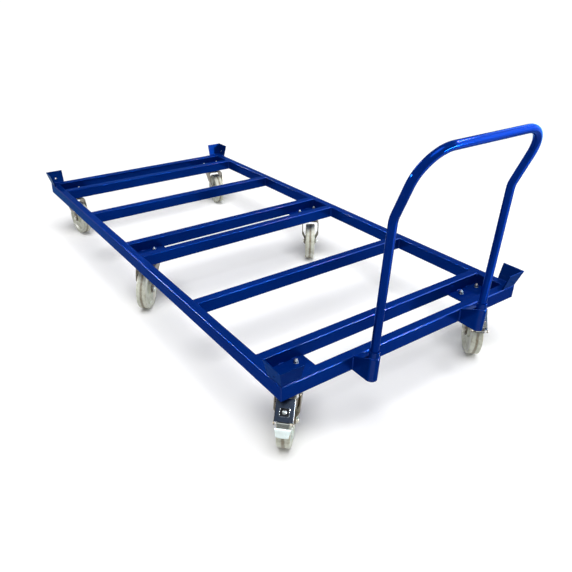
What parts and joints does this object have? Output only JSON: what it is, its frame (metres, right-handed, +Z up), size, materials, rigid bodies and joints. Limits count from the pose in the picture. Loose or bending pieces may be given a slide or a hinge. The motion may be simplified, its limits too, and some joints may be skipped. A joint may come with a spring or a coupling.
{
  "type": "pallet dolly",
  "caption": "Long rectangular tube-frame dolly on swivel castors, with flared corner guides and a plug-in push handle; the castors at the handle end have pedal brakes.",
  "frame": {"origin": "on the floor, under the middle of the part's bounding box", "axes": "+X along the frame towards the push handle, +Y to the right of someone who pushes the handle, +Z up"},
  "size_m": [2.7058, 1.2956, 1.0838],
  "materials": {
    "blue_paint": "gloss deep blue powder coat",
    "zinc_plate": "bright zinc plate",
    "nylon": "off-white cast nylon",
    "bearing_steel": "greased bearing steel"
  },
  "bodies": {
    "frame": {"side_rail_right": "blue_paint", "side_rail_left": "blue_paint", "end_beam_front": "blue_paint", "end_beam_rear": "blue_paint", "inner_beam_front": "blue_paint", "inner_beam_rear": "blue_paint", "cross_beam_front": "blue_paint", "cross_beam_rear": "blue_paint", "mid_beam_front": "blue_paint", "mid_beam_rear": "blue_paint", "corner_guide_front_left": "blue_paint", "corner_guide_front_right": "blue_paint", "corner_guide_rear_right": "blue_paint", "corner_guide_rear_left": "blue_paint", "socket_bracket_left": "blue_paint", "socket_tube_left": "blue_paint", "socket_bracket_right": "blue_paint", "socket_tube_right": "blue_paint", "castor_top_plates": "zinc_plate", "castor_kingpins": "zinc_plate", "swivel_ball_rings": "bearing_steel", "castor_mount_plates": "blue_paint", "castor_bolts": "zinc_plate", "castor_nuts": "zinc_plate"},
    "handle": {"push_handle": "blue_paint"},
    "castor_front_left": {"castor_fork_front_left": "zinc_plate", "castor_axle_front_left": "zinc_plate", "brake_housing_front_left": "zinc_plate", "brake_leaf_front_left": "zinc_plate", "brake_screw_front_left": "zinc_plate", "brake_hinge_pin_front_left": "zinc_plate"},
    "wheel_front_left": {"castor_wheel_front_left": "nylon", "wheel_bearing_front_left": "bearing_steel"},
    "pedal_front_left": {"brake_pedal_front_left": "zinc_plate"},
    "castor_front_right": {"castor_fork_front_right": "zinc_plate", "castor_axle_front_right": "zinc_plate", "brake_housing_front_right": "zinc_plate", "brake_leaf_front_right": "zinc_plate", "brake_screw_front_right": "zinc_plate", "brake_hinge_pin_front_right": "zinc_plate"},
    "wheel_front_right": {"castor_wheel_front_right": "nylon", "wheel_bearing_front_right": "bearing_steel"},
    "pedal_front_right": {"brake_pedal_front_right": "zinc_plate"},
    "castor_mid_left": {"castor_fork_mid_left": "zinc_plate", "castor_axle_mid_left": "zinc_plate"},
    "wheel_mid_left": {"castor_wheel_mid_left": "nylon", "wheel_bearing_mid_left": "bearing_steel"},
    "castor_mid_right": {"castor_fork_mid_right": "zinc_plate", "castor_axle_mid_right": "zinc_plate"},
    "wheel_mid_right": {"castor_wheel_mid_right": "nylon", "wheel_bearing_mid_right": "bearing_steel"},
    "castor_rear_left": {"castor_fork_rear_left": "zinc_plate", "castor_axle_rear_left": "zinc_plate"},
    "wheel_rear_left": {"castor_wheel_rear_left": "nylon", "wheel_bearing_rear_left": "bearing_steel"},
    "castor_rear_right": {"castor_fork_rear_right": "zinc_plate", "castor_axle_rear_right": "zinc_plate"},
    "wheel_rear_right": {"castor_wheel_rear_right": "nylon", "wheel_bearing_rear_right": "bearing_steel"}
  },
  "joints": [
    {"name": "handle_lift", "type": "slide", "parent": "frame", "child": "handle", "axis": [0.0297, 0, 0.9996], "range_m": [0, 0.15]},
    {"name": "swivel_front_left", "type": "hinge", "parent": "frame", "child": "castor_front_left", "pos_m": [1.0616, -0.50174, 0.2275], "axis": [0, 0, 1], "continuous": true},
    {"name": "roll_front_left", "type": "hinge", "parent": "castor_front_left", "child": "wheel_front_left", "pos_m": [1.10756, -0.5477, 0.1], "axis": [0.7071, 0.7071, 0], "continuous": true},
    {"name": "brake_front_left", "type": "hinge", "parent": "castor_front_left", "child": "pedal_front_left", "pos_m": [1.17706, -0.6172, 0.16223], "axis": [-0.7071, -0.7071, 0], "range_deg": [0, 160]},
    {"name": "swivel_front_right", "type": "hinge", "parent": "frame", "child": "castor_front_right", "pos_m": [1.0616, 0.51326, 0.2275], "axis": [0, 0, 1], "continuous": true},
    {"name": "roll_front_right", "type": "hinge", "parent": "castor_front_right", "child": "wheel_front_right", "pos_m": [1.1099, 0.46976, 0.1], "axis": [0.6691, 0.7431, 0], "continuous": true},
    {"name": "brake_front_right", "type": "hinge", "parent": "castor_front_right", "child": "pedal_front_right", "pos_m": [1.18294, 0.404, 0.16223], "axis": [-0.6691, -0.7431, 0], "range_deg": [-160, 0]},
    {"name": "swivel_mid_left", "type": "hinge", "parent": "frame", "child": "castor_mid_left", "pos_m": [-0.1039, -0.51324, 0.2275], "axis": [0, 0, 1], "continuous": true},
    {"name": "roll_mid_left", "type": "hinge", "parent": "castor_mid_left", "child": "wheel_mid_left", "pos_m": [-0.05485, -0.55589, 0.1], "axis": [0.6561, 0.7547, 0], "continuous": true},
    {"name": "swivel_mid_right", "type": "hinge", "parent": "frame", "child": "castor_mid_right", "pos_m": [-0.1039, 0.52476, 0.2275], "axis": [0, 0, 1], "continuous": true},
    {"name": "roll_mid_right", "type": "hinge", "parent": "castor_mid_right", "child": "wheel_mid_right", "pos_m": [-0.05268, 0.48474, 0.1], "axis": [0.6157, 0.788, 0], "continuous": true},
    {"name": "swivel_rear_left", "type": "hinge", "parent": "frame", "child": "castor_rear_left", "pos_m": [-1.2474, -0.51324, 0.2275], "axis": [0, 0, 1], "continuous": true},
    {"name": "roll_rear_left", "type": "hinge", "parent": "castor_rear_left", "child": "wheel_rear_left", "pos_m": [-1.18265, -0.50758, 0.1], "axis": [-0.0872, 0.9962, 0], "continuous": true},
    {"name": "swivel_rear_right", "type": "hinge", "parent": "frame", "child": "castor_rear_right", "pos_m": [-1.2474, 0.52476, 0.2275], "axis": [0, 0, 1], "continuous": true},
    {"name": "roll_rear_right", "type": "hinge", "parent": "castor_rear_right", "child": "wheel_rear_right", "pos_m": [-1.18382, 0.51124, 0.1], "axis": [0.2079, 0.9781, 0], "continuous": true}
  ]
}
